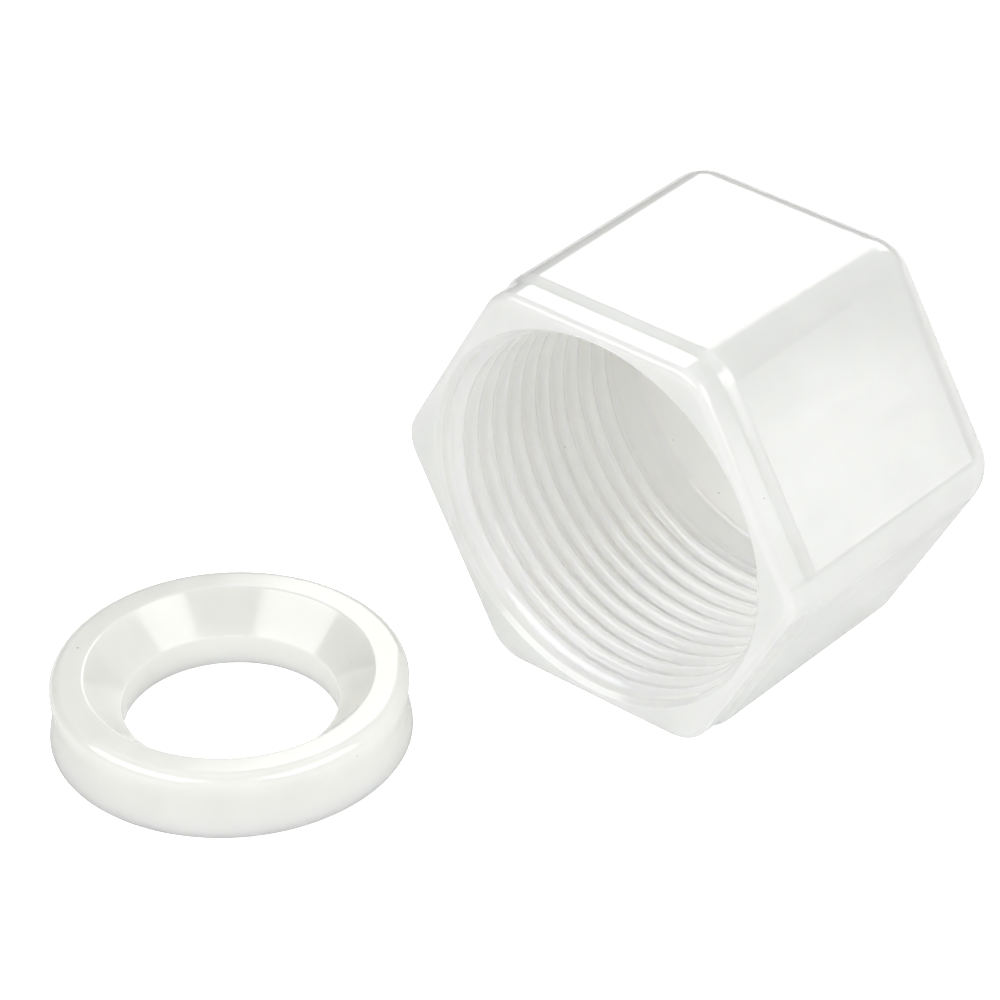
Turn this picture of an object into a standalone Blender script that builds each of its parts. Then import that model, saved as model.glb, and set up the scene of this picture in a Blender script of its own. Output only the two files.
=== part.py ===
"""Closed hexagonal pipe cap with its loose coned ring, in natural polypropylene.

Metres, +Z up. The cap lies on one of its six flats with its mouth towards -Y, and the ring lies flat
beside the mouth, coned side up. The origin is on the surface, under the middle of the pair.
"""
import math

import bmesh
import bpy

MM = 0.001

# Cap: a hexagon body with a slightly smaller collar at the mouth
ACROSS_FLATS = 46.0 * MM
CAP_LENGTH = 35.6 * MM
COLLAR_LENGTH = 3.0 * MM
COLLAR_STEP = 0.4 * MM
SHOULDER_LENGTH = 1.6 * MM
CORNER_RADIUS = 5.1 * MM
END_RADIUS = 5.0 * MM
LIP_RADIUS = 0.9 * MM

# Cap: a blind bore with an internal G 1 1/4 right-hand pipe thread
THREAD_MAJOR = 41.91 * MM
THREAD_MINOR = 38.952 * MM
THREAD_PITCH = 2.309 * MM
THREAD_TURNS = 12
# Shares of a pitch at which the thread form turns, each with its height above the groove
THREAD_FORM = ((0.09, 0.0), (0.41, 1.0), (0.59, 1.0), (0.91, 0.0))
RUN_IN_TURNS = 0.25
MOUTH_CHAMFER = 0.5 * MM
BORE_DEPTH = 31.4 * MM
FLOOR_RADIUS = 0.9 * MM

# Ring: flat underneath, slightly waisted, coned at 45 degrees on top
RING_HEIGHT = 7.3 * MM
RING_BASE_RADIUS = 18.9 * MM
RING_WAIST_RADIUS = 18.45 * MM
RING_WAIST_HEIGHT = 3.4 * MM
RING_BROW_RADIUS = 18.65 * MM
RING_TOP_ROUNDING = 1.35 * MM
RING_BORE_RADIUS = 11.3 * MM
RING_LAND_HEIGHT = 3.5 * MM
CONE_EDGE_FLAT = 0.3 * MM

# Where the ring lies, from the middle of the cap's mouth
RING_ASIDE = -26.2 * MM
RING_AHEAD = -27.4 * MM

# Facets
SIDES = 6
POINTS_PER_CORNER = 9
POINTS_ROUND = SIDES * POINTS_PER_CORNER
ROUNDING_STEPS = 5
RING_POINTS = 60


def clear_scene():
    for thing in list(bpy.data.objects):
        bpy.data.objects.remove(thing, do_unlink=True)


def plastic(name, colour, roughness):
    """A moulded plastic, as a Principled material."""
    material = bpy.data.materials.new(name)
    material.use_nodes = True
    shader = material.node_tree.nodes["Principled BSDF"]
    shader.inputs["Base Color"].default_value = (*colour, 1.0)
    shader.inputs["Roughness"].default_value = roughness
    shader.inputs["Metallic"].default_value = 0.0
    return material


def add_object(name, bm, material, location):
    """Turn a finished bmesh into a named object, with its round faces shaded smooth."""
    bmesh.ops.recalc_face_normals(bm, faces=bm.faces)
    mesh = bpy.data.meshes.new(name)
    bm.to_mesh(mesh)
    bm.free()
    mesh.shade_smooth()
    mesh.set_sharp_from_angle(angle=math.radians(30))
    mesh.materials.append(material)
    thing = bpy.data.objects.new(name, mesh)
    thing.location = location
    bpy.context.collection.objects.link(thing)


def join_loops(bm, first, second):
    """Close the band between two loops of equal length."""
    for i in range(len(first)):
        following = (i + 1) % len(first)
        bm.faces.new((first[i], first[following], second[following], second[i]))


def quarter_round(steps):
    """Pairs that run round a quarter of a unit circle, from (1, 0) to (0, 1)."""
    for k in range(steps + 1):
        angle = k * math.pi / 2 / steps
        yield math.cos(angle), math.sin(angle)


def hexagon_loop(bm, y, inset):
    """The body's outline at y, a hexagon on its flat with rounded corners, drawn inwards by inset."""
    radius = CORNER_RADIUS - inset
    reach = (ACROSS_FLATS / 2 - CORNER_RADIUS) / math.cos(math.pi / SIDES)
    loop = []
    for corner in range(SIDES):
        middle = corner * 2 * math.pi / SIDES
        for k in range(POINTS_PER_CORNER):
            angle = middle + (k / (POINTS_PER_CORNER - 1) - 0.5) * 2 * math.pi / SIDES
            x = reach * math.cos(middle) + radius * math.cos(angle)
            z = reach * math.sin(middle) + radius * math.sin(angle)
            loop.append(bm.verts.new((x, y, z)))
    return loop


def bore_angle(i):
    """Angle of the bore's point i, in step with the hexagon's points and seen from the mouth."""
    return 2 * math.pi * (i + 0.5) / POINTS_ROUND - math.pi / SIDES


def bore_point(bm, i, y, radius):
    return bm.verts.new((radius * math.cos(bore_angle(i)), y, radius * math.sin(bore_angle(i))))


def bore_loop(bm, y, radius):
    return [bore_point(bm, i, y, radius) for i in range(POINTS_ROUND)]


def cap_outside(bm):
    """Lip, collar, sloping shoulder and body, up to the rounded closed end. Returns the loop on the
    mouth face."""
    loops = []
    for out, along in quarter_round(3):
        loops.append(hexagon_loop(bm, LIP_RADIUS * (1 - along), COLLAR_STEP + LIP_RADIUS * (1 - out)))
    loops.reverse()
    loops.append(hexagon_loop(bm, COLLAR_LENGTH, COLLAR_STEP))
    loops.append(hexagon_loop(bm, COLLAR_LENGTH + SHOULDER_LENGTH, 0.0))
    for out, along in quarter_round(ROUNDING_STEPS):
        inset = END_RADIUS * (1 - out)
        loops.append(hexagon_loop(bm, CAP_LENGTH - END_RADIUS * (1 - along), inset))
    for near, far in zip(loops, loops[1:]):
        join_loops(bm, near, far)
    bm.faces.new(loops[-1])
    return loops[0]


def thread_point(bm, i, row):
    """One point of the thread. The ridge grows from the wall over its first part turn, and sinks
    back into it over its last. Going deeper it turns clockwise, as a right-hand thread does."""
    share, height = THREAD_FORM[row % len(THREAD_FORM)]
    turn = row // len(THREAD_FORM) + 1 - i / POINTS_ROUND
    growth = min(1.0, turn / RUN_IN_TURNS, (THREAD_TURNS - turn) / RUN_IN_TURNS)
    depth = (THREAD_MAJOR - THREAD_MINOR) / 2 * height * max(0.0, growth)
    return bore_point(bm, i, MOUTH_CHAMFER + THREAD_PITCH * (turn + share), THREAD_MAJOR / 2 - depth)


def cap_thread(bm, mouth_loop, floor_loop):
    """The thread, in rows that climb with the helix. The row that leaves the last column comes back
    to the first column one turn deeper, so a short extra column starts the first turn."""
    per_turn = len(THREAD_FORM)
    rows = THREAD_TURNS * per_turn
    columns = [[thread_point(bm, i, row) for row in range(rows)] for i in range(POINTS_ROUND)]
    start = [thread_point(bm, POINTS_ROUND, row) for row in range(per_turn)]
    columns.append(start + columns[0][:rows - per_turn])
    for left, right in zip(columns, columns[1:]):
        for row in range(rows - 1):
            bm.faces.new((left[row], right[row], right[row + 1], left[row + 1]))
    for i in range(POINTS_ROUND):
        following = (i + 1) % POINTS_ROUND
        near = [mouth_loop[i], mouth_loop[following], columns[i + 1][0], columns[i][0]]
        far = [columns[i][-1], columns[i + 1][-1], floor_loop[following], floor_loop[i]]
        if i == 0:
            near[4:] = reversed(start)
        if following == 0:
            far[2:2] = columns[0][rows - per_turn:]
        bm.faces.new(near)
        bm.faces.new(far)


def cap_bore(bm, lip_loop):
    """Mouth face, chamfer, thread, and the floor with its rounded edge."""
    wall = THREAD_MAJOR / 2
    mouth_loop = bore_loop(bm, 0.0, wall + MOUTH_CHAMFER)
    chamfer_loop = bore_loop(bm, MOUTH_CHAMFER, wall)
    join_loops(bm, lip_loop, mouth_loop)
    join_loops(bm, mouth_loop, chamfer_loop)
    loops = []
    for out, along in quarter_round(2):
        loops.append(bore_loop(bm, BORE_DEPTH - FLOOR_RADIUS * (1 - along), wall - FLOOR_RADIUS * (1 - out)))
    cap_thread(bm, chamfer_loop, loops[0])
    for near, far in zip(loops, loops[1:]):
        join_loops(bm, near, far)
    bm.faces.new(loops[-1])


def make_cap(material, location):
    bm = bmesh.new()
    cap_bore(bm, cap_outside(bm))
    add_object("cap_nut", bm, material, location)


def ring_profile():
    """The ring's section as radius and height, from the base's inner edge round its outer side."""
    outline = [(RING_BORE_RADIUS, 0.0), (RING_BASE_RADIUS, 0.0)]
    outline.append((RING_WAIST_RADIUS, RING_WAIST_HEIGHT - 0.8 * MM))
    outline.append((RING_WAIST_RADIUS, RING_WAIST_HEIGHT + 0.8 * MM))
    centre = (RING_BROW_RADIUS - RING_TOP_ROUNDING, RING_HEIGHT - RING_TOP_ROUNDING)
    for out, up in quarter_round(4):
        outline.append((centre[0] + RING_TOP_ROUNDING * out, centre[1] + RING_TOP_ROUNDING * up))
    cone_radius = RING_BORE_RADIUS + RING_HEIGHT - RING_LAND_HEIGHT
    outline.append((cone_radius, RING_HEIGHT))
    outline.append((cone_radius - CONE_EDGE_FLAT, RING_HEIGHT - CONE_EDGE_FLAT / 2))
    outline.append((RING_BORE_RADIUS, RING_LAND_HEIGHT))
    return outline


def make_ring(material, location):
    """The section, spun once round the vertical axis."""
    bm = bmesh.new()
    points = [bm.verts.new((radius, 0.0, height)) for radius, height in ring_profile()]
    edges = [bm.edges.new((points[i - 1], points[i])) for i in range(len(points))]
    bmesh.ops.spin(bm, geom=points + edges, cent=(0, 0, 0), axis=(0, 0, 1), angle=2 * math.pi,
                   steps=RING_POINTS, use_merge=True)
    bmesh.ops.remove_doubles(bm, verts=bm.verts, dist=0.001 * MM)
    add_object("cone_ring", bm, material, location)


def build():
    clear_scene()
    natural = plastic("natural_polypropylene", (0.86, 0.87, 0.85), 0.28)
    ring_natural = plastic("ring_polypropylene", (0.85, 0.86, 0.83), 0.30)
    corner_reach = (ACROSS_FLATS / 2 - CORNER_RADIUS) / math.cos(math.pi / SIDES) + CORNER_RADIUS
    middle_x = (corner_reach + RING_ASIDE - RING_BASE_RADIUS) / 2
    middle_y = (CAP_LENGTH + RING_AHEAD - RING_BASE_RADIUS) / 2
    make_cap(natural, (-middle_x, -middle_y, ACROSS_FLATS / 2))
    make_ring(ring_natural, (RING_ASIDE - middle_x, RING_AHEAD - middle_y, 0.0))


build()
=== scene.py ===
# %% [markdown]
# # A pipe cap and its coned ring
#
# A plastic pipe cap is a closed hexagonal nut. It screws onto the end of a pipe, and a loose ring
# inside it is squeezed against the pipe's end and seals it. Both pieces are moulded from natural
# polypropylene: a milky, glossy plastic that lets some light through. This lesson models the two
# pieces around a fixed frame, gives them that plastic, and lights them like a small studio table.

# %% Load the fixed frame
import math

import bmesh
import bpy
from mathutils import Matrix, Vector


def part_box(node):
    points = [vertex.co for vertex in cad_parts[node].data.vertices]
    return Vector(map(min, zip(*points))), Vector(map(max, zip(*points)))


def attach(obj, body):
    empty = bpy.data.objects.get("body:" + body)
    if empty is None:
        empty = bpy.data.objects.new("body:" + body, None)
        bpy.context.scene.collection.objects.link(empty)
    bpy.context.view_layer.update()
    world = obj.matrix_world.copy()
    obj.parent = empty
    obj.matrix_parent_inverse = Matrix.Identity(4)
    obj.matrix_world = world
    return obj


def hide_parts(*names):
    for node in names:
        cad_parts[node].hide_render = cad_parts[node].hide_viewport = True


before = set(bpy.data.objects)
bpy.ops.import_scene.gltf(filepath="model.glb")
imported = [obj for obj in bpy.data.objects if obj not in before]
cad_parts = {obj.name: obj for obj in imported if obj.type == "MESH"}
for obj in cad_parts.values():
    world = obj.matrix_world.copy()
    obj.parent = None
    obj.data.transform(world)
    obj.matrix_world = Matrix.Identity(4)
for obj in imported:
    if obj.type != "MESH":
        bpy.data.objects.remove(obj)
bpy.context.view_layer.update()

MM = 0.001
print("frame pieces:", sorted(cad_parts))

# %% [markdown]
# ## Sizes
#
# The frame already says where everything is, so the places and the large sizes are read from it.
# A hexagon is as tall as it is wide across its flats when it lies on one of them. Its width across
# the rounded corners gives the corner radius: a sharp hexagon is 1 / cos(30) times wider, and every
# millimetre of radius takes off a known part of that.

# %% Read the sizes from the frame
cap_low, cap_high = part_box("cap_nut")
ring_low, ring_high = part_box("cone_ring")

ACROSS_FLATS = cap_high.z - cap_low.z
CAP_LENGTH = cap_high.y - cap_low.y
MOUTH = Vector(((cap_low.x + cap_high.x) / 2, cap_low.y, (cap_low.z + cap_high.z) / 2))
STRETCH = 1 / math.cos(math.pi / 6)
CORNER_RADIUS = (ACROSS_FLATS * STRETCH - (cap_high.x - cap_low.x)) / 2 / (STRETCH - 1)
RING_CENTRE = Vector(((ring_low.x + ring_high.x) / 2, (ring_low.y + ring_high.y) / 2, ring_low.z))
RING_HEIGHT = ring_high.z - ring_low.z
RING_BASE_RADIUS = (ring_high.x - ring_low.x) / 2

for label, size in (("across flats", ACROSS_FLATS), ("cap length", CAP_LENGTH),
                    ("corner radius", CORNER_RADIUS), ("ring height", RING_HEIGHT),
                    ("ring base radius", RING_BASE_RADIUS)):
    print(f"{label}: {size / MM:.2f} mm")

# %% [markdown]
# ## Camera
#
# The camera comes early, because each later step is judged through it. It stands about half a metre
# away with a long lens, so the hexagon's sides stay nearly parallel, as in a catalogue picture. It
# looks down by 34 degrees, from the side of the mouth, and leans by one degree.

# %% Place the camera
AZIMUTH = math.radians(41.43)
ELEVATION = math.radians(34.0)
LEAN = math.radians(-0.97)
DISTANCE = 496.2 * MM
SENSOR = 36.0
LENS = 4.8307 * SENSOR
AIM_FROM_MOUTH = Vector((-9.79, -3.21, 0.0)) * MM
aim = MOUTH + AIM_FROM_MOUTH

forward = Vector((-math.sin(AZIMUTH) * math.cos(ELEVATION), math.cos(AZIMUTH) * math.cos(ELEVATION),
                  -math.sin(ELEVATION)))
right = Vector((math.cos(AZIMUTH), math.sin(AZIMUTH), 0.0))
up = right.cross(forward)
leaning_right = math.cos(LEAN) * right + math.sin(LEAN) * up
leaning_up = math.cos(LEAN) * up - math.sin(LEAN) * right

bpy.ops.object.camera_add(location=aim - forward * DISTANCE)
camera = bpy.context.object
camera.rotation_euler = Matrix((leaning_right, leaning_up, -forward)).transposed().to_euler()
camera.data.lens = LENS
camera.data.sensor_width = SENSOR
camera.data.clip_start = 10 * MM
bpy.context.scene.camera = camera
print(f"camera at {[round(v, 3) for v in camera.location]}, lens {LENS:.1f} mm")

# %% [markdown]
# ## Small helpers for working by hand
#
# Blender's edit operators act on what is selected. Loading the frame leaves its pieces selected, so
# each step first deselects everything and opens one piece. Faces and edges are then picked by where
# they are or which way they look, as one would pick them with the mouse.

# %% Helpers: open a piece, pick parts of it, close it
SAME_PLACE = 0.01 * MM
MERGE_WITHIN = 0.001 * MM
SEAM_WITHIN = 0.002 * MM


def open_piece(piece, kind):
    """Edit one piece, with nothing selected, in VERT, EDGE or FACE mode."""
    bpy.ops.object.select_all(action="DESELECT")
    piece.select_set(True)
    bpy.context.view_layer.objects.active = piece
    bpy.ops.object.mode_set(mode="EDIT")
    bpy.ops.mesh.select_mode(type=kind)
    bpy.ops.mesh.select_all(action="DESELECT")


def pick(piece, kind, test):
    """Select only the verts, edges or faces that pass a test, and say how many there are."""
    bpy.ops.mesh.select_all(action="DESELECT")
    mesh = bmesh.from_edit_mesh(piece.data)
    chosen = [part for part in getattr(mesh, kind) if test(part)]
    for part in chosen:
        part.select_set(True)
    bmesh.update_edit_mesh(piece.data)
    return len(chosen)


def close_piece():
    bpy.ops.object.mode_set(mode="OBJECT")


def settle(piece):
    """Put the object's place, turn and size into its mesh."""
    bpy.ops.object.select_all(action="DESELECT")
    piece.select_set(True)
    bpy.context.view_layer.objects.active = piece
    bpy.ops.object.transform_apply(location=True, rotation=True, scale=True)


def all_at(part, y):
    """True where every corner of an edge or a face lies at this depth along the cap."""
    return all(abs(corner.co.y - y) < SAME_PLACE for corner in part.verts)


print(f"helpers ready, places count as equal within {SAME_PLACE / MM:.2f} mm")

# %% [markdown]
# ## Hexagon body
#
# The body is a hexagonal prism that lies on a flat. A six-sided cylinder is the quickest start: it is
# added at its real size, with its axis along Y. The shoulder and the collar at the mouth come later,
# so the prism begins behind them.

# %% Add the hexagonal prism
COLLAR_LENGTH = 3.0 * MM
SHOULDER_LENGTH = 1.6 * MM
COLLAR_STEP = 0.4 * MM
body_length = CAP_LENGTH - COLLAR_LENGTH - SHOULDER_LENGTH
body_front = MOUTH.y + COLLAR_LENGTH + SHOULDER_LENGTH
closed_end = MOUTH.y + CAP_LENGTH

bpy.ops.object.select_all(action="DESELECT")
bpy.ops.mesh.primitive_cylinder_add(
    vertices=6, radius=ACROSS_FLATS / 2 * STRETCH, depth=body_length,
    location=(MOUTH.x, body_front + body_length / 2, MOUTH.z), rotation=(math.pi / 2, math.pi / 6, 0))
cap = bpy.context.object
cap.name = "threaded_hexagon_cap"
settle(cap)
print("prism faces:", len(cap.data.polygons))

# %% [markdown]
# ## Rounded corners
#
# A moulded hexagon has generous round corners, which are easier to fill and kinder to the hand. The
# six long edges are bevelled. A bevel starts where the rounding touches the flat, which for a corner
# of 120 degrees is radius times tan(30) from the edge. Its profile is only a true circle on a square
# corner, so each corner is then trued: every vertex moves to the right distance from its centre.

# %% Round the six long edges
CORNER_STEPS = 14


def true_corners(piece):
    """Bring the vertices of the bevelled corners to a real circle round each corner's centre."""
    reach = (ACROSS_FLATS / 2 - CORNER_RADIUS) * STRETCH
    for vertex in piece.data.vertices:
        away = vertex.co - MOUTH
        angle = round(math.atan2(away.z, away.x) / (math.pi / 3)) * math.pi / 3
        centre = Vector((reach * math.cos(angle), away.y, reach * math.sin(angle)))
        vertex.co = MOUTH + centre + (away - centre).normalized() * CORNER_RADIUS


open_piece(cap, "EDGE")
long_edges = pick(cap, "edges", lambda edge: abs(edge.verts[0].co.y - edge.verts[1].co.y) > SAME_PLACE)
bpy.ops.mesh.bevel(offset=CORNER_RADIUS * math.tan(math.pi / 6), segments=CORNER_STEPS)
close_piece()
true_corners(cap)
print("long edges rounded:", long_edges)

# %% [markdown]
# ## Rounded closed end
#
# The closed end flows into the flats in a radius nearly as large as the corners', so at the corners
# the surface is almost a ball. One bevel round the end's rim makes it.

# %% Round the closed end
END_RADIUS = 5.0 * MM
END_STEPS = 14

open_piece(cap, "EDGE")
rim = pick(cap, "edges", lambda edge: all_at(edge, closed_end))
bpy.ops.mesh.bevel(offset=END_RADIUS, segments=END_STEPS, clamp_overlap=False)
close_piece()
print("rim edges rounded:", rim, "faces now:", len(cap.data.polygons))

# %% [markdown]
# ## Shoulder and collar
#
# The mouth ends in a collar that is a fraction of a millimetre smaller than the body. The step between
# them is a soft S, because the mould's cavity was polished there. The front face is inset a little and
# moved forward a little, again and again, with shares that start and end gently. Then it is extruded
# into the straight collar.

# %% Draw out the shoulder and the collar
SHOULDER_STEPS = 10


def gentle(share):
    """A share from 0 to 1 that starts and ends slowly."""
    return share * share * (3 - 2 * share)


open_piece(cap, "FACE")
pick(cap, "faces", lambda face: all_at(face, body_front))
for step in range(SHOULDER_STEPS):
    inset = COLLAR_STEP * (gentle((step + 1) / SHOULDER_STEPS) - gentle(step / SHOULDER_STEPS))
    bpy.ops.mesh.inset(thickness=inset, depth=SHOULDER_LENGTH / SHOULDER_STEPS, use_even_offset=True)
bpy.ops.mesh.extrude_region_move(TRANSFORM_OT_translate={"value": (0, -COLLAR_LENGTH, 0)})
close_piece()
front = min(vertex.co.y for vertex in cap.data.vertices)
print(f"collar reaches y = {front / MM:.2f} mm, and the mouth should be at {MOUTH.y / MM:.2f} mm")

# %% [markdown]
# ## Lip
#
# The outer edge of the mouth is rounded, so that the cap starts easily and has no sharp edge. One
# bevel round the front rim makes it.

# %% Round the lip
LIP_RADIUS = 0.9 * MM
LIP_STEPS = 8

open_piece(cap, "EDGE")
lip_edges = pick(cap, "edges", lambda edge: all_at(edge, MOUTH.y))
bpy.ops.mesh.bevel(offset=LIP_RADIUS, segments=LIP_STEPS)
close_piece()
print("lip edges rounded:", lip_edges)

# %% [markdown]
# ## Drawing a section
#
# Round things start from a section, drawn point by point. By hand one keeps a single vertex of a small
# plane and extrudes it from point to point, and this helper does the same. Round stretches of a
# section come from an arc.

# %% Helpers: an arc's points, and a line drawn through points
def arc(centre, radius, start, end, steps):
    """Points on an arc as (across, along), from the start angle to the end angle in degrees."""
    points = []
    for step in range(steps + 1):
        angle = math.radians(start + (end - start) * step / steps)
        points.append(Vector((centre[0] + radius * math.cos(angle), centre[1] + radius * math.sin(angle))))
    return points


def draw_section(name, origin, points):
    """A line through 3-D points, given from the origin, as its own object."""
    bpy.ops.object.select_all(action="DESELECT")
    bpy.ops.mesh.primitive_plane_add(size=MM, location=origin)
    line = bpy.context.object
    line.name = name
    bpy.ops.object.mode_set(mode="EDIT")
    bpy.ops.mesh.select_mode(type="VERT")
    bpy.ops.mesh.select_all(action="SELECT")
    bpy.ops.mesh.merge(type="CENTER")
    bpy.ops.transform.translate(value=points[0])
    for start, end in zip(points, points[1:]):
        bpy.ops.mesh.extrude_region_move(TRANSFORM_OT_translate={"value": end - start})
    close_piece()
    return line


# %% [markdown]
# ## Thread
#
# The bore carries a right-hand pipe thread, 55 degrees between its flanks. Its crests and roots are
# rounded more than the standard asks, so that the ribs look soft. With the same flanks, a larger
# rounding makes the thread shallower: two shares, rounded to four figures, give the depth at which the
# flanks run smoothly into the roundings. One pitch is drawn as a section, and a Screw modifier turns
# it round the bore while it moves along by one pitch a turn. Neighbouring turns share their edges.

# %% Draw one pitch of the thread
THREAD_PITCH = 2.309 * MM
THREAD_MAJOR_RADIUS = 20.955 * MM
THREAD_ROUNDING = 0.235 * THREAD_PITCH
DEPTH_PER_PITCH = 0.9605
DEPTH_LOST_PER_ROUNDING = 2.331
THREAD_DEPTH = DEPTH_PER_PITCH * THREAD_PITCH - DEPTH_LOST_PER_ROUNDING * THREAD_ROUNDING
FLANK_TURN = 62.5
ROUNDING_STEPS = 4


def thread_section():
    """One pitch from root to root, as (radius, depth along the bore)."""
    root = THREAD_MAJOR_RADIUS - THREAD_ROUNDING
    crest = THREAD_MAJOR_RADIUS - THREAD_DEPTH + THREAD_ROUNDING
    points = arc((root, 0.0), THREAD_ROUNDING, 0, FLANK_TURN, ROUNDING_STEPS)
    points += arc((crest, THREAD_PITCH / 2), THREAD_ROUNDING, 180 + FLANK_TURN, 180 - FLANK_TURN,
                  2 * ROUNDING_STEPS)
    points += arc((root, THREAD_PITCH), THREAD_ROUNDING, -FLANK_TURN, 0, ROUNDING_STEPS)
    return points


section = [Vector((radius, along, 0.0)) for radius, along in thread_section()]
bore = draw_section("bore", MOUTH, section)
print(f"points in one pitch: {len(section)}, thread depth {THREAD_DEPTH / MM:.2f} mm")

# %% [markdown]
# ## Winding the thread
#
# The start depth decides where the crests lie, and it puts them where the frame's crests lie. A full
# positive turn about Y makes the thread right-handed: seen from the mouth, it goes deeper clockwise.
# The screw runs from in front of the mouth to behind the floor, so that both ends can be cut off
# square afterwards.

# %% Wind the section into a thread
THREAD_START = -4.29 * MM
THREAD_WOUND_TURNS = 16
POINTS_ROUND = 180

open_piece(bore, "VERT")
bpy.ops.mesh.select_all(action="SELECT")
bpy.ops.transform.translate(value=(0, THREAD_START, 0))
close_piece()
screw = bore.modifiers.new("winding", "SCREW")
screw.axis = "Y"
screw.angle = 2 * math.pi
screw.screw_offset = THREAD_PITCH
screw.iterations = THREAD_WOUND_TURNS
screw.steps = POINTS_ROUND
screw.render_steps = POINTS_ROUND
screw.merge_threshold = MERGE_WITHIN
bpy.ops.object.modifier_apply(modifier=screw.name)
settle(bore)
open_piece(bore, "VERT")
bpy.ops.mesh.select_all(action="SELECT")
bpy.ops.mesh.remove_doubles(threshold=SEAM_WITHIN)
close_piece()
print("thread faces wound:", len(bore.data.polygons))

# %% [markdown]
# ## Ends of the thread
#
# A moulded thread grows out of the wall behind the mouth and sinks back before the floor, so that the
# screw finds its way in. Each vertex near an end is moved back to the wall, by a share that fades over
# one pitch. There the wall is a plain cylinder, and a bisect cuts it off square.

# %% Sink the ends of the thread and cut them square
MOUTH_CHAMFER = 0.5 * MM
PLAIN_LENGTH = 0.1 * MM
BORE_DEPTH = 31.4 * MM
FLOOR_RADIUS = 0.9 * MM
THREAD_LAST = 28.2 * MM
CUT_WITHIN = 0.0001 * MM


def sink_ends(piece):
    for vertex in piece.data.vertices:
        away = vertex.co - MOUTH
        radius = math.hypot(away.x, away.z)
        inside = min(away.y - MOUTH_CHAMFER - PLAIN_LENGTH, THREAD_LAST - away.y) / THREAD_PITCH
        growth = min(1.0, max(0.0, inside))
        trued = THREAD_MAJOR_RADIUS - (THREAD_MAJOR_RADIUS - radius) * gentle(growth)
        vertex.co.x = MOUTH.x + away.x * trued / radius
        vertex.co.z = MOUTH.z + away.z * trued / radius


sink_ends(bore)
open_piece(bore, "VERT")
for depth, facing in ((MOUTH_CHAMFER, -1), (BORE_DEPTH - FLOOR_RADIUS, 1)):
    bpy.ops.mesh.select_all(action="SELECT")
    bpy.ops.mesh.bisect(plane_co=(MOUTH.x, MOUTH.y + depth, MOUTH.z), plane_no=(0, facing, 0),
                        clear_outer=True, threshold=CUT_WITHIN)
close_piece()
depths = [(vertex.co.y - MOUTH.y) / MM for vertex in bore.data.vertices]
print(f"thread runs from {min(depths):.2f} to {max(depths):.2f} mm behind the mouth")

# %% [markdown]
# ## Chamfer and floor
#
# The open edge at the mouth is extruded forward and widened into the chamfer. The edge at the floor is
# extruded in short steps round a small radius, and closed with a face.

# %% Finish both ends of the bore
FLOOR_STEPS = 4


def extrude_ring(y_now, y_next, scale):
    """Extrude the open edge at one depth to another, and scale it about the bore's axis."""
    pick(bore, "edges", lambda edge: edge.is_boundary and all_at(edge, y_now))
    bpy.ops.mesh.extrude_region_move(TRANSFORM_OT_translate={"value": (0, y_next - y_now, 0)})
    bpy.ops.transform.resize(value=(scale, 1, scale), center_override=(MOUTH.x, y_next, MOUTH.z))


open_piece(bore, "EDGE")
chamfer_scale = (THREAD_MAJOR_RADIUS + MOUTH_CHAMFER) / THREAD_MAJOR_RADIUS
extrude_ring(MOUTH.y + MOUTH_CHAMFER, MOUTH.y, chamfer_scale)
floor_arc = arc((THREAD_MAJOR_RADIUS - FLOOR_RADIUS, MOUTH.y + BORE_DEPTH - FLOOR_RADIUS),
                FLOOR_RADIUS, 0, 90, FLOOR_STEPS)
for here, there in zip(floor_arc, floor_arc[1:]):
    extrude_ring(here.y, there.y, there.x / here.x)
bpy.ops.mesh.edge_face_add()
close_piece()
print("bore faces:", len(bore.data.polygons))

# %% [markdown]
# ## Joining the bore to the body
#
# The mouth face is taken off the body and the bore is joined in. Two open edges are left, one
# hexagonal and one round, and filling between them makes the flat face round the mouth. That closes
# the piece.

# %% Join and fill
open_piece(cap, "FACE")
mouth_faces = pick(cap, "faces", lambda face: all_at(face, MOUTH.y))
bpy.ops.mesh.delete(type="ONLY_FACE")
close_piece()
bpy.ops.object.select_all(action="DESELECT")
bore.select_set(True)
cap.select_set(True)
bpy.context.view_layer.objects.active = cap
bpy.ops.object.join()
open_piece(cap, "EDGE")
open_edges = pick(cap, "edges", lambda edge: edge.is_boundary)
bpy.ops.mesh.fill()
bpy.ops.mesh.select_all(action="SELECT")
bpy.ops.mesh.remove_doubles(threshold=MERGE_WITHIN)
bpy.ops.mesh.normals_make_consistent(inside=False)
close_piece()


def report(piece):
    """Print a piece's size, and whether it is closed and faces outwards."""
    mesh = bmesh.new()
    mesh.from_mesh(piece.data)
    open_edges = sum(1 for edge in mesh.edges if len(edge.link_faces) != 2)
    triangles = sum(len(face.verts) - 2 for face in mesh.faces)
    print(f"{piece.name}: {triangles} triangles, {open_edges} open edges, "
          f"{mesh.calc_volume(signed=True) / MM ** 3 / 1000:.2f} cm3")
    mesh.free()


print("mouth faces taken off:", mouth_faces, "and open edges filled between:", open_edges)
report(cap)

# %% [markdown]
# ## Ring
#
# The ring is a turned shape. Its section has a flat base, an outer wall that is a little waisted where
# the plastic shrank, a round shoulder, a flat top, a 45 degree cone that takes the pipe's end, and a
# plain hole. Spinning the section once round the vertical axis makes the piece.

# %% Draw the ring's section
WAIST_RADIUS = 18.45 * MM
WAIST_HEIGHT = 3.4 * MM
BROW_RADIUS = 18.65 * MM
TOP_ROUNDING = 1.35 * MM
RING_BORE_RADIUS = 11.3 * MM
LAND_HEIGHT = 3.5 * MM
CONE_ANGLE = 45
SMALL_EDGE = 0.15 * MM
CONE_EDGE = 0.35 * MM
LAND_EDGE = 0.5 * MM
WALL_STEPS = 12
TOP_STEPS = 12
EDGE_STEPS = 4
SMALL_STEPS = 3


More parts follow.
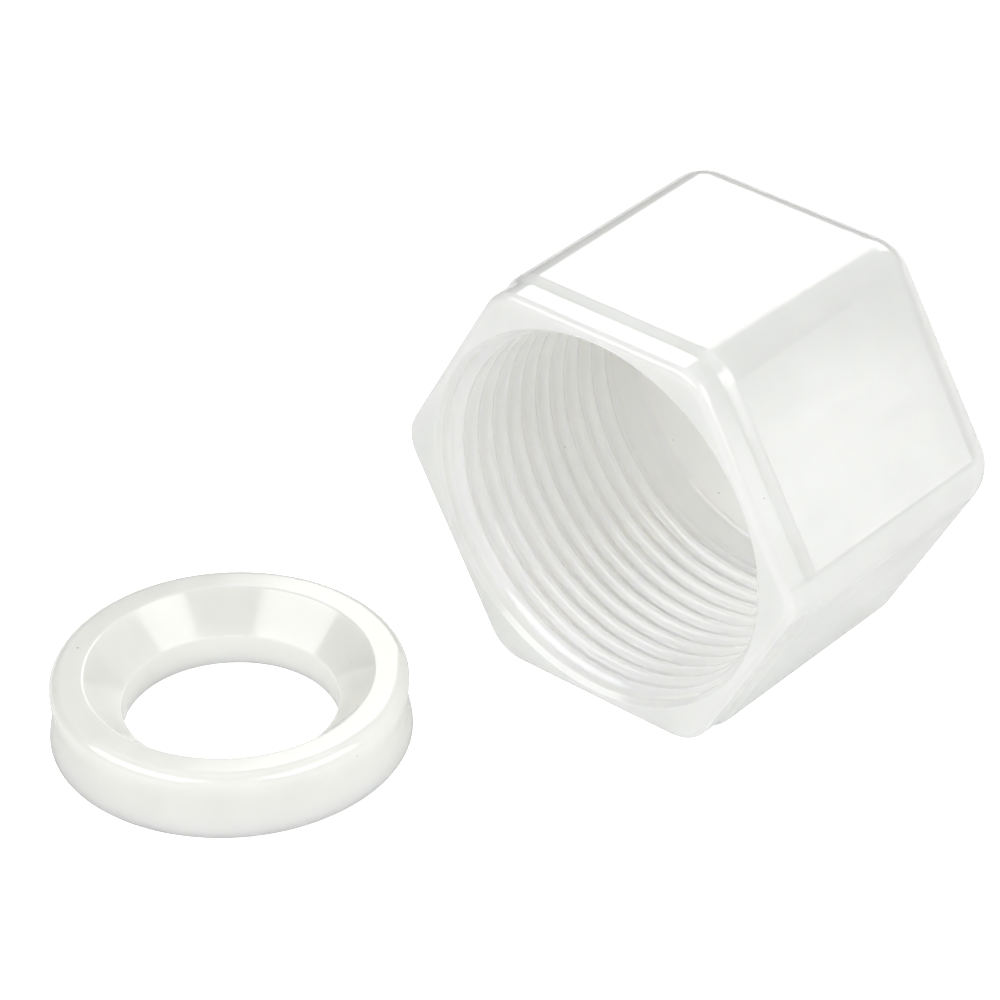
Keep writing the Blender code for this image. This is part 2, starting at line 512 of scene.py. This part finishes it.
def ring_wall():
    """The waisted outer wall, between the base's edge and the round shoulder."""
    top = RING_HEIGHT - TOP_ROUNDING
    points = []
    for step in range(WALL_STEPS + 1):
        height = SMALL_EDGE + (top - SMALL_EDGE) * step / WALL_STEPS
        if height < WAIST_HEIGHT:
            outer, span = RING_BASE_RADIUS, WAIST_HEIGHT
        else:
            outer, span = BROW_RADIUS, top - WAIST_HEIGHT
        share = min(1.0, abs(height - WAIST_HEIGHT) / span)
        points.append(Vector((WAIST_RADIUS + (outer - WAIST_RADIUS) * gentle(share), height)))
    return points


def ring_section():
    """The closed section as (radius, height), from the base's inner edge round the outer side."""
    cone_radius = RING_BORE_RADIUS + RING_HEIGHT - LAND_HEIGHT
    tangent = math.tan(math.radians(CONE_ANGLE / 2))
    slope = 180 - CONE_ANGLE
    points = arc((RING_BASE_RADIUS - SMALL_EDGE, SMALL_EDGE), SMALL_EDGE, -90, 0, SMALL_STEPS)[:-1]
    points += ring_wall()[:-1]
    points += arc((BROW_RADIUS - TOP_ROUNDING, RING_HEIGHT - TOP_ROUNDING), TOP_ROUNDING, 0, 90, TOP_STEPS)
    points += arc((cone_radius + CONE_EDGE * tangent, RING_HEIGHT - CONE_EDGE), CONE_EDGE,
                  90, slope, EDGE_STEPS)
    points += arc((RING_BORE_RADIUS + LAND_EDGE, LAND_HEIGHT - LAND_EDGE * tangent), LAND_EDGE,
                  slope, 180, EDGE_STEPS)
    points += arc((RING_BORE_RADIUS + SMALL_EDGE, SMALL_EDGE), SMALL_EDGE, 180, 270, SMALL_STEPS)
    return points


outline = ring_section()
section = [Vector((radius, 0.0, height)) for radius, height in outline + outline[:1]]
ring = draw_section("coned_ring", RING_CENTRE, section)
print("points in the ring's section:", len(outline))

# %% [markdown]
# ## Spinning the ring
#
# The section stands on one side of the axis. Spinning it once round, in the same number of steps as
# the bore, closes the ring, and the last column of points is merged with the first.

# %% Spin the section into the ring
settle(ring)
open_piece(ring, "VERT")
bpy.ops.mesh.select_all(action="SELECT")
bpy.ops.mesh.remove_doubles(threshold=MERGE_WITHIN)
bpy.ops.mesh.spin(steps=POINTS_ROUND, angle=2 * math.pi, center=RING_CENTRE, axis=(0, 0, 1))
bpy.ops.mesh.select_all(action="SELECT")
bpy.ops.mesh.remove_doubles(threshold=SEAM_WITHIN)
bpy.ops.mesh.normals_make_consistent(inside=False)
close_piece()
report(ring)

# %% [markdown]
# ## Shading
#
# Smooth shading blends each face's direction into its neighbours'. On a large flat beside a small
# rounding that would leave a false curve, so a Weighted Normal modifier lets the large faces decide.

# %% Shade both pieces
SHARP_ABOVE = 35

for piece in (cap, ring):
    bpy.ops.object.select_all(action="DESELECT")
    piece.select_set(True)
    bpy.context.view_layer.objects.active = piece
    bpy.ops.object.shade_smooth_by_angle(angle=math.radians(SHARP_ABOVE))
    weighting = piece.modifiers.new("weighting", "WEIGHTED_NORMAL")
    weighting.keep_sharp = True
    bpy.ops.object.modifier_apply(modifier=weighting.name)
    print(piece.name, "shaded")

# %% [markdown]
# ## Natural polypropylene
#
# Natural polypropylene has no pigment. Light enters it, scatters on its crystals and comes out
# millimetres away, so edges glow and shadows stay soft. That is subsurface scattering. The look is
# built in small parts, each one a short chain of nodes that reads the piece's own coordinates.

# %% Helpers: a node with its sockets set, and noise spread over the piece
def add_node(tree, kind, **inputs):
    """A node with some of its sockets set; spaces in a socket's name are written as underscores."""
    node = tree.nodes.new(kind)
    for name, value in inputs.items():
        node.inputs[name.replace("_", " ")].default_value = value
    return node


def spread(tree, source, low, high, to_low, to_high):
    """Stretch the part of a value between low and high over another range."""
    node = add_node(tree, "ShaderNodeMapRange", From_Min=low, From_Max=high, To_Min=to_low, To_Max=to_high)
    tree.links.new(source, node.inputs["Value"])
    return node.outputs["Result"]


def cloudy(tree, place, feature, detail, stretch=(1, 1, 1)):
    """Noise whose spots are about one feature size across, and longer where stretched."""
    mapping = add_node(tree, "ShaderNodeMapping", Scale=[1 / feature / part for part in stretch])
    noise = add_node(tree, "ShaderNodeTexNoise", Scale=1.0, Detail=detail)
    tree.links.new(place, mapping.inputs["Vector"])
    tree.links.new(mapping.outputs["Vector"], noise.inputs["Vector"])
    return noise.outputs["Fac"]


def times(tree, first, second):
    node = tree.nodes.new("ShaderNodeMath")
    node.operation = "MULTIPLY"
    tree.links.new(first, node.inputs[0])
    tree.links.new(second, node.inputs[1])
    return node.outputs["Value"]


print("node helpers ready")

# %% [markdown]
# ## Painted light inside the bore
#
# On a cap of this plastic the bore looks nearly as light as the outside, probably because light goes
# through the wall and lights it from behind. Subsurface scattering alone left the bore too dark beside
# the outside, so a lighter base colour is painted into the bore: painted light, in place of the light
# that comes through the wall. A mask finds the bore by its distance from the axis and its depth.

# %% Find the bore inside the plastic
WALL_IS_INSIDE = 0.1 * MM
WALL_IS_OUTSIDE = 0.5 * MM
MOUTH_FADE = (0.2 * MM, 2.0 * MM)
END_FADE = (BORE_DEPTH + 1.5 * MM, BORE_DEPTH + 0.5 * MM)


def painted_bore_light_mask(tree, place):
    """1 inside the bore, where the lighter colour is painted in as light, 0 on the outside."""
    away = tree.nodes.new("ShaderNodeVectorMath")
    away.operation = "SUBTRACT"
    away.inputs[1].default_value = MOUTH
    across = tree.nodes.new("ShaderNodeVectorMath")
    across.operation = "MULTIPLY"
    across.inputs[1].default_value = (1, 0, 1)
    radius = tree.nodes.new("ShaderNodeVectorMath")
    radius.operation = "LENGTH"
    split = tree.nodes.new("ShaderNodeSeparateXYZ")
    tree.links.new(place, away.inputs[0])
    tree.links.new(away.outputs["Vector"], across.inputs[0])
    tree.links.new(across.outputs["Vector"], radius.inputs[0])
    tree.links.new(away.outputs["Vector"], split.inputs[0])
    near_axis = spread(tree, radius.outputs["Value"], THREAD_MAJOR_RADIUS + WALL_IS_OUTSIDE,
                       THREAD_MAJOR_RADIUS + WALL_IS_INSIDE, 0, 1)
    behind_mouth = spread(tree, split.outputs["Y"], *MOUTH_FADE, 0, 1)
    before_end = spread(tree, split.outputs["Y"], *END_FADE, 0, 1)
    return times(tree, times(tree, near_axis, behind_mouth), before_end)


print("bore mask reaches", round(BORE_DEPTH / MM, 1), "mm deep")

# %% [markdown]
# ## Clouds, specks, flow marks and dimples
#
# The plastic isn't even. Crystals form in faint clouds a few millimetres across. Specks of dust and
# burnt resin, a third of a millimetre across, lie here and there. Melt that flows along the cap's axis
# leaves the gloss in long faint streaks, and the skin shrinks into very shallow dimples. Each one is
# weak, and together they stop the surface from looking computed. The streaks come with the finished
# plastic.

# %% Colour and relief of the plastic
CLOUD_SIZE = 7 * MM
CLOUD_DARKEST = 0.97
SPECK_SPACING = 4.5 * MM
SPECK_CORE = 0.02
SPECK_EDGE = 0.035
SPECK_DARKEST = 0.6
DIMPLE_SIZE = 1.6 * MM
DIMPLE_DEPTH = 0.1 * MM
DIMPLE_STRENGTH = 0.03


def plastic_colour(tree, place, outside, inside):
    """The outside colour and the painted bore light, blended by the mask and darkened by clouds and
    specks.
    """
    blend = tree.nodes.new("ShaderNodeMix")
    blend.data_type = "RGBA"
    blend.inputs[6].default_value = (*outside, 1)
    blend.inputs[7].default_value = (*inside, 1)
    # Painted light: the mask lays the lighter colour into the bore, in place of light through the wall.
    tree.links.new(painted_bore_light_mask(tree, place), blend.inputs[0])
    clouds = spread(tree, cloudy(tree, place, CLOUD_SIZE, 2.0), 0.35, 0.65, CLOUD_DARKEST, 1.0)
    dust = add_node(tree, "ShaderNodeTexVoronoi", Scale=1 / SPECK_SPACING)
    tree.links.new(place, dust.inputs["Vector"])
    specks = spread(tree, dust.outputs["Distance"], SPECK_CORE, SPECK_EDGE, SPECK_DARKEST, 1.0)
    shade = tree.nodes.new("ShaderNodeVectorMath")
    shade.operation = "SCALE"
    tree.links.new(blend.outputs[2], shade.inputs[0])
    tree.links.new(times(tree, clouds, specks), shade.inputs["Scale"])
    return shade.outputs["Vector"]


def plastic_relief(tree, place):
    """Very shallow dimples."""
    bump = add_node(tree, "ShaderNodeBump", Strength=DIMPLE_STRENGTH, Distance=DIMPLE_DEPTH)
    tree.links.new(cloudy(tree, place, DIMPLE_SIZE, 3.0), bump.inputs["Height"])
    return bump.outputs["Normal"]


print(f"clouds darken to {CLOUD_DARKEST}, specks are {2 * SPECK_EDGE * SPECK_SPACING / MM:.2f} mm across")

# %% [markdown]
# ## The finished plastic
#
# The parts come together on one Principled shader. Cap and ring are the same plastic, and the ring is
# a shade warmer, as a piece from another batch can be.

# %% Make the plastic
ROUGHNESS_RANGE = (0.08, 0.15)
STREAK_WIDTH = 1.5 * MM
STREAK_STRETCH = (1, 8, 1)
SCATTER_DISTANCE = 3.0 * MM


def polypropylene(name, outside, inside):
    """Natural polypropylene, with its colour outside and a lighter colour painted into the bore as light.
    """
    material = bpy.data.materials.new(name)
    material.use_nodes = True
    tree = material.node_tree
    shader = tree.nodes["Principled BSDF"]
    place = tree.nodes.new("ShaderNodeTexCoord").outputs["Object"]
    shader.inputs["Specular IOR Level"].default_value = 0.8
    shader.inputs["IOR"].default_value = 1.49
    shader.inputs["Subsurface Weight"].default_value = 1.0
    shader.inputs["Subsurface Radius"].default_value = (1.0, 0.98, 0.9)
    shader.inputs["Subsurface Scale"].default_value = SCATTER_DISTANCE
    streaks = cloudy(tree, place, STREAK_WIDTH, 2.0, stretch=STREAK_STRETCH)
    tree.links.new(plastic_colour(tree, place, outside, inside), shader.inputs["Base Color"])
    tree.links.new(spread(tree, streaks, 0.3, 0.7, *ROUGHNESS_RANGE), shader.inputs["Roughness"])
    tree.links.new(plastic_relief(tree, place), shader.inputs["Normal"])
    return material


# The bore's colour is painted light, lighter than the outside to stand in for light through the wall.
BORE_PAINTED_LIGHT = (1.0, 1.0, 0.985)
CAP_OUTSIDE = (0.81, 0.82, 0.805)
RING_OUTSIDE = (0.845, 0.85, 0.815)
cap_plastic = polypropylene("natural_polypropylene", CAP_OUTSIDE, BORE_PAINTED_LIGHT)
ring_plastic = polypropylene("ring_polypropylene", RING_OUTSIDE, BORE_PAINTED_LIGHT)
for piece, material in ((cap, cap_plastic), (ring, ring_plastic)):
    piece.data.materials.clear()
    piece.data.materials.append(material)
    print(piece.name, "is made of", material.name)

# %% [markdown]
# ## Tying the pieces to the frame
#
# Each piece rides on the body it belongs to, so it moves as that body moves. It takes the place of the
# frame's plain solid.

# %% Tie the pieces to the frame
for piece, body, node, slot in ((cap, "cap", "cap_nut", "cap_plastic"),
                                (ring, "ring", "cone_ring", "ring_plastic")):
    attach(piece, body)
    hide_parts(node)
    print(piece.name, "rides on", body)

# %% [markdown]
# ## Table
#
# The pieces lie on a large white board. It glows a little for the camera, so that it shows as plain
# white, while the light it gives back to the pieces stays modest. A Light Path node tells the two
# apart. The board is a hair below the pieces, so that no faces coincide.

# %% Lay the table
TABLE_SIZE = 8.0
TABLE_GAP = 0.05 * MM
TABLE_GLOW = 0.8

bpy.ops.object.select_all(action="DESELECT")
bpy.ops.mesh.primitive_plane_add(size=TABLE_SIZE, location=(0, 0, -TABLE_GAP))
table = bpy.context.object
table.name = "table"
settle(table)
white = bpy.data.materials.new("white_table")
white.use_nodes = True
tree = white.node_tree
board = tree.nodes["Principled BSDF"]
board.inputs["Base Color"].default_value = (0.93, 0.93, 0.93, 1)
board.inputs["Roughness"].default_value = 0.9
board.inputs["Specular IOR Level"].default_value = 0.0
board.inputs["Emission Color"].default_value = (1, 1, 1, 1)
path = tree.nodes.new("ShaderNodeLightPath")
lift = tree.nodes.new("ShaderNodeMath")
lift.operation = "MULTIPLY"
lift.inputs[1].default_value = TABLE_GLOW
tree.links.new(path.outputs["Is Camera Ray"], lift.inputs[0])
tree.links.new(lift.outputs[0], board.inputs["Emission Strength"])
table.data.materials.append(white)
print(f"table is {table.dimensions.x:.1f} m wide")

# %% [markdown]
# ## Lights
#
# The light is soft and comes from both sides, as in a light tent. The box behind makes the top flat
# shine white, and it ends just before the ring's flat top would mirror it. A small low box at the right
# stands where the right flat mirrors it, and its picture ends about where the flat starts to curve.
# The left box reaches into the bore. Brightness is given as the brightness of the box's face, so a box
# can be resized without changing how its reflection looks.

# %% Hang the softboxes
BOX_DISTANCE = 0.9
toward_camera = Vector((math.sin(AZIMUTH), -math.cos(AZIMUTH), 0.0))


def softbox(name, turn, height, width, tall, brightness):
    """A soft rectangular light, turned away from the camera and raised, both in degrees."""
    turn, height = math.radians(turn), math.radians(height)
    level = toward_camera * math.cos(turn) + right * math.sin(turn)
    place = level * math.cos(height) + Vector((0, 0, math.sin(height)))
    bpy.ops.object.light_add(type="AREA", location=place * BOX_DISTANCE)
    light = bpy.context.object
    light.name = name
    light.rotation_euler = place.to_track_quat("Z", "Y").to_euler()
    light.data.shape = "RECTANGLE"
    light.data.size = width
    light.data.size_y = tall
    light.data.energy = brightness * math.pi * width * tall
    print(f"{name}: {light.data.energy:.1f} W")


softbox("left_softbox", -59, 37, 1.08, 0.57, 2.85)
softbox("right_softbox", 55, 37, 0.90, 0.57, 3.15)
softbox("right_low_box", 90.4, 9.0, 0.08, 0.11, 2.2)
softbox("back_softbox", 160.3, 33, 0.68, 0.42, 3.0)
softbox("top_softbox", 180, 78, 0.8, 0.8, 0.6)
softbox("front_softbox", 0, 20, 0.6, 0.5, 0.6)

# %% [markdown]
# ## Surroundings
#
# The room is nearly dark for the pieces, so that only the boxes shape them, and white for the camera,
# so that a low view has a pale horizon. Many bounces are allowed, because in the bore of a nearly white
# plastic the light bounces many times before it comes out.

# %% Set the surroundings
ROOM_FOR_PIECES = 0.05
ROOM_FOR_CAMERA = 1.0

world = bpy.data.worlds.new("studio_walls")
bpy.context.scene.world = world
world.use_nodes = True
tree = world.node_tree
backdrop = tree.nodes["Background"]
backdrop.inputs["Color"].default_value = (1, 1, 1, 1)
path = tree.nodes.new("ShaderNodeLightPath")
seen = tree.nodes.new("ShaderNodeMapRange")
seen.inputs["To Min"].default_value = ROOM_FOR_PIECES
seen.inputs["To Max"].default_value = ROOM_FOR_CAMERA
tree.links.new(path.outputs["Is Camera Ray"], seen.inputs["Value"])
tree.links.new(seen.outputs["Result"], backdrop.inputs["Strength"])
bpy.context.scene.cycles.max_bounces = 24
bpy.context.scene.cycles.diffuse_bounces = 16
bpy.context.scene.view_settings.view_transform = "Standard"
print("surroundings set, light bounces", bpy.context.scene.cycles.max_bounces, "times")
